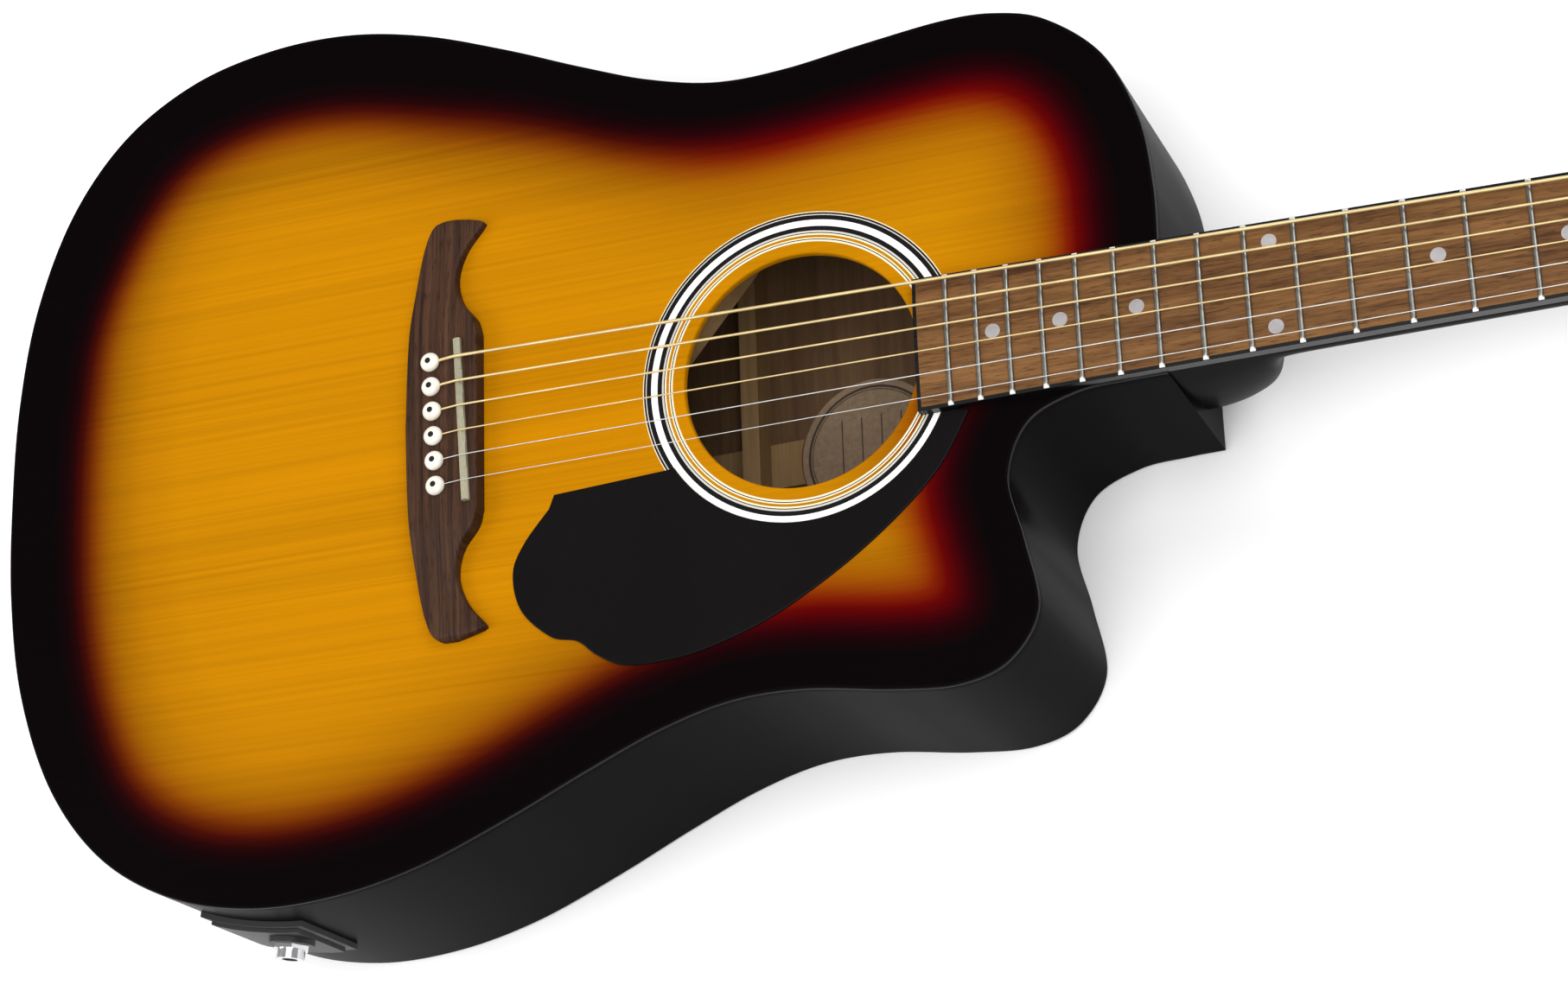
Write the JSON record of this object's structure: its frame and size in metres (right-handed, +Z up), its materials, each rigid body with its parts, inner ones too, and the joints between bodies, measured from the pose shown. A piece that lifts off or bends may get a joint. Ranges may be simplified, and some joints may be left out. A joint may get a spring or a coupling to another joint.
{
  "type": "acoustic guitar",
  "caption": "Steel-string acoustic guitar with a cutaway body, a round soundhole and a fretted neck, lying on its back.",
  "frame": {"origin": "on the floor plane of the flat back, at the middle of the guitar's overall length and width", "axes": "+X along the neck towards the headstock, +Y towards the bass side, +Z up out of the soundboard; the back lies flat on z = 0"},
  "size_m": [1.0552, 0.3941, 0.1228],
  "materials": {
    "sunburst_top": "gloss lacquer over spruce, sunburst",
    "gloss_black": "gloss black lacquer",
    "bare_wood": "unfinished light wood inside the body",
    "paper_label": "plain printed paper",
    "edge_strip": "black plastic edge strip",
    "rosette_rings": "black and white rings under lacquer",
    "pickguard_black": "smooth black sheet",
    "bridge_rosewood": "dark streaked wood, satin",
    "bone": "polished bone colour",
    "board_walnut": "open grained brown wood, satin",
    "fret_wire": "polished nickel",
    "marker_pearl": "grey pearl plastic",
    "steel": "plain steel",
    "chrome": "polished",
    "wound_bronze": "wound bronze wire",
    "plain_steel": "drawn steel wire",
    "matte_black": "moulded black plastic",
    "battery_case": "painted steel can"
  },
  "bodies": {
    "root": {"soundboard": "sunburst_top", "sides": "gloss_black", "back": "gloss_black", "neck_block": "bare_wood", "tail_block": "bare_wood", "top_lining": "bare_wood", "back_lining": "bare_wood", "x_braces": "bare_wood", "tone_bars": "bare_wood", "back_braces": "bare_wood", "bridge_plate": "bare_wood", "back_strip": "bare_wood", "label": "paper_label", "edge_binding": "edge_strip", "rosette": "rosette_rings", "pickguard": "pickguard_black", "bridge": "bridge_rosewood", "saddle": "bone", "pickup_strip": "steel", "bridge_pins": "bone", "fingerboard": "board_walnut", "fingerboard_binding": "edge_strip", "frets": "fret_wire", "fret_markers": "marker_pearl", "neck": "gloss_black", "neck_bolts": "steel", "truss_rod": "steel", "rod_cover": "matte_black", "nut": "bone", "headstock_veneer": "gloss_black", "tuner_housings": "chrome", "tuner_bushings": "chrome", "string_1": "wound_bronze", "string_2": "wound_bronze", "string_3": "wound_bronze", "string_4": "wound_bronze", "string_5": "plain_steel", "string_6": "plain_steel", "strap_button": "chrome", "jack_plate": "matte_black", "output_jack": "chrome", "preamp_housing": "matte_black", "battery": "battery_case"},
    "battery_door": {"battery_door": "matte_black"},
    "knob_volume": {"knob_volume": "matte_black"},
    "knob_bass": {"knob_bass": "matte_black"},
    "knob_treble": {"knob_treble": "matte_black"},
    "tuner_button": {"tuner_button": "matte_black"},
    "tuner_key_1": {"tuner_key_1": "chrome"},
    "tuner_post_1": {"tuner_post_1": "chrome"},
    "tuner_key_2": {"tuner_key_2": "chrome"},
    "tuner_post_2": {"tuner_post_2": "chrome"},
    "tuner_key_3": {"tuner_key_3": "chrome"},
    "tuner_post_3": {"tuner_post_3": "chrome"},
    "tuner_key_4": {"tuner_key_4": "chrome"},
    "tuner_post_4": {"tuner_post_4": "chrome"},
    "tuner_key_5": {"tuner_key_5": "chrome"},
    "tuner_post_5": {"tuner_post_5": "chrome"},
    "tuner_key_6": {"tuner_key_6": "chrome"},
    "tuner_post_6": {"tuner_post_6": "chrome"}
  },
  "joints": [
    {"name": "key_1_turn", "type": "hinge", "parent": "root", "child": "tuner_key_1", "pos_m": [0.37738, 0.022, 0.04443], "axis": [0, 1, 0], "continuous": true},
    {"name": "post_1_turn", "type": "hinge", "parent": "root", "child": "tuner_post_1", "pos_m": [0.39189, 0.022, 0.06326], "axis": [0.2653, 0, 0.9642], "continuous": true},
    {"name": "key_2_turn", "type": "hinge", "parent": "root", "child": "tuner_key_2", "pos_m": [0.41595, 0.022, 0.03382], "axis": [0, 1, 0], "continuous": true},
    {"name": "post_2_turn", "type": "hinge", "parent": "root", "child": "tuner_post_2", "pos_m": [0.43046, 0.022, 0.05265], "axis": [0.2653, 0, 0.9642], "continuous": true},
    {"name": "key_3_turn", "type": "hinge", "parent": "root", "child": "tuner_key_3", "pos_m": [0.45451, 0.022, 0.02321], "axis": [0, 1, 0], "continuous": true},
    {"name": "post_3_turn", "type": "hinge", "parent": "root", "child": "tuner_post_3", "pos_m": [0.46903, 0.022, 0.04204], "axis": [0.2653, 0, 0.9642], "continuous": true},
    {"name": "key_4_turn", "type": "hinge", "parent": "root", "child": "tuner_key_4", "pos_m": [0.45451, -0.022, 0.02321], "axis": [0, -1, 0], "continuous": true},
    {"name": "post_4_turn", "type": "hinge", "parent": "root", "child": "tuner_post_4", "pos_m": [0.46903, -0.022, 0.04204], "axis": [0.2653, 0, 0.9642], "continuous": true},
    {"name": "key_5_turn", "type": "hinge", "parent": "root", "child": "tuner_key_5", "pos_m": [0.41595, -0.022, 0.03382], "axis": [0, -1, 0], "continuous": true},
    {"name": "post_5_turn", "type": "hinge", "parent": "root", "child": "tuner_post_5", "pos_m": [0.43046, -0.022, 0.05265], "axis": [0.2653, 0, 0.9642], "continuous": true},
    {"name": "key_6_turn", "type": "hinge", "parent": "root", "child": "tuner_key_6", "pos_m": [0.37738, -0.022, 0.04443], "axis": [0, -1, 0], "continuous": true},
    {"name": "post_6_turn", "type": "hinge", "parent": "root", "child": "tuner_post_6", "pos_m": [0.39189, -0.022, 0.06326], "axis": [0.2653, 0, 0.9642], "continuous": true},
    {"name": "volume_turn", "type": "hinge", "parent": "root", "child": "knob_volume", "pos_m": [-0.12887, 0.13576, 0.05409], "axis": [-0.0731, 0.9973, 0.0043], "range_deg": [-135, 135]},
    {"name": "bass_turn", "type": "hinge", "parent": "root", "child": "knob_bass", "pos_m": [-0.11294, 0.13693, 0.05315], "axis": [-0.0731, 0.9973, 0.0043], "range_deg": [-135, 135]},
    {"name": "treble_turn", "type": "hinge", "parent": "root", "child": "knob_treble", "pos_m": [-0.09701, 0.1381, 0.05221], "axis": [-0.0731, 0.9973, 0.0043], "range_deg": [-135, 135]},
    {"name": "tuner_press", "type": "slide", "parent": "root", "child": "tuner_button", "axis": [0.0731, -0.9973, -0.0043], "range_m": [0, 0.0008], "stiffness_N_per_m": 600, "springref_m": -0.0003},
    {"name": "battery_door_hinge", "type": "hinge", "parent": "root", "child": "battery_door", "pos_m": [-0.12397, 0.14009, 0.04038], "axis": [-0.9956, -0.0732, 0.0589], "range_deg": [0, 100]}
  ],
  "couplings": [
    {"joint": "post_1_turn", "follows": "key_1_turn", "ratio": 0.071429},
    {"joint": "post_2_turn", "follows": "key_2_turn", "ratio": 0.071429},
    {"joint": "post_3_turn", "follows": "key_3_turn", "ratio": 0.071429},
    {"joint": "post_4_turn", "follows": "key_4_turn", "ratio": 0.071429},
    {"joint": "post_5_turn", "follows": "key_5_turn", "ratio": 0.071429},
    {"joint": "post_6_turn", "follows": "key_6_turn", "ratio": 0.071429}
  ]
}
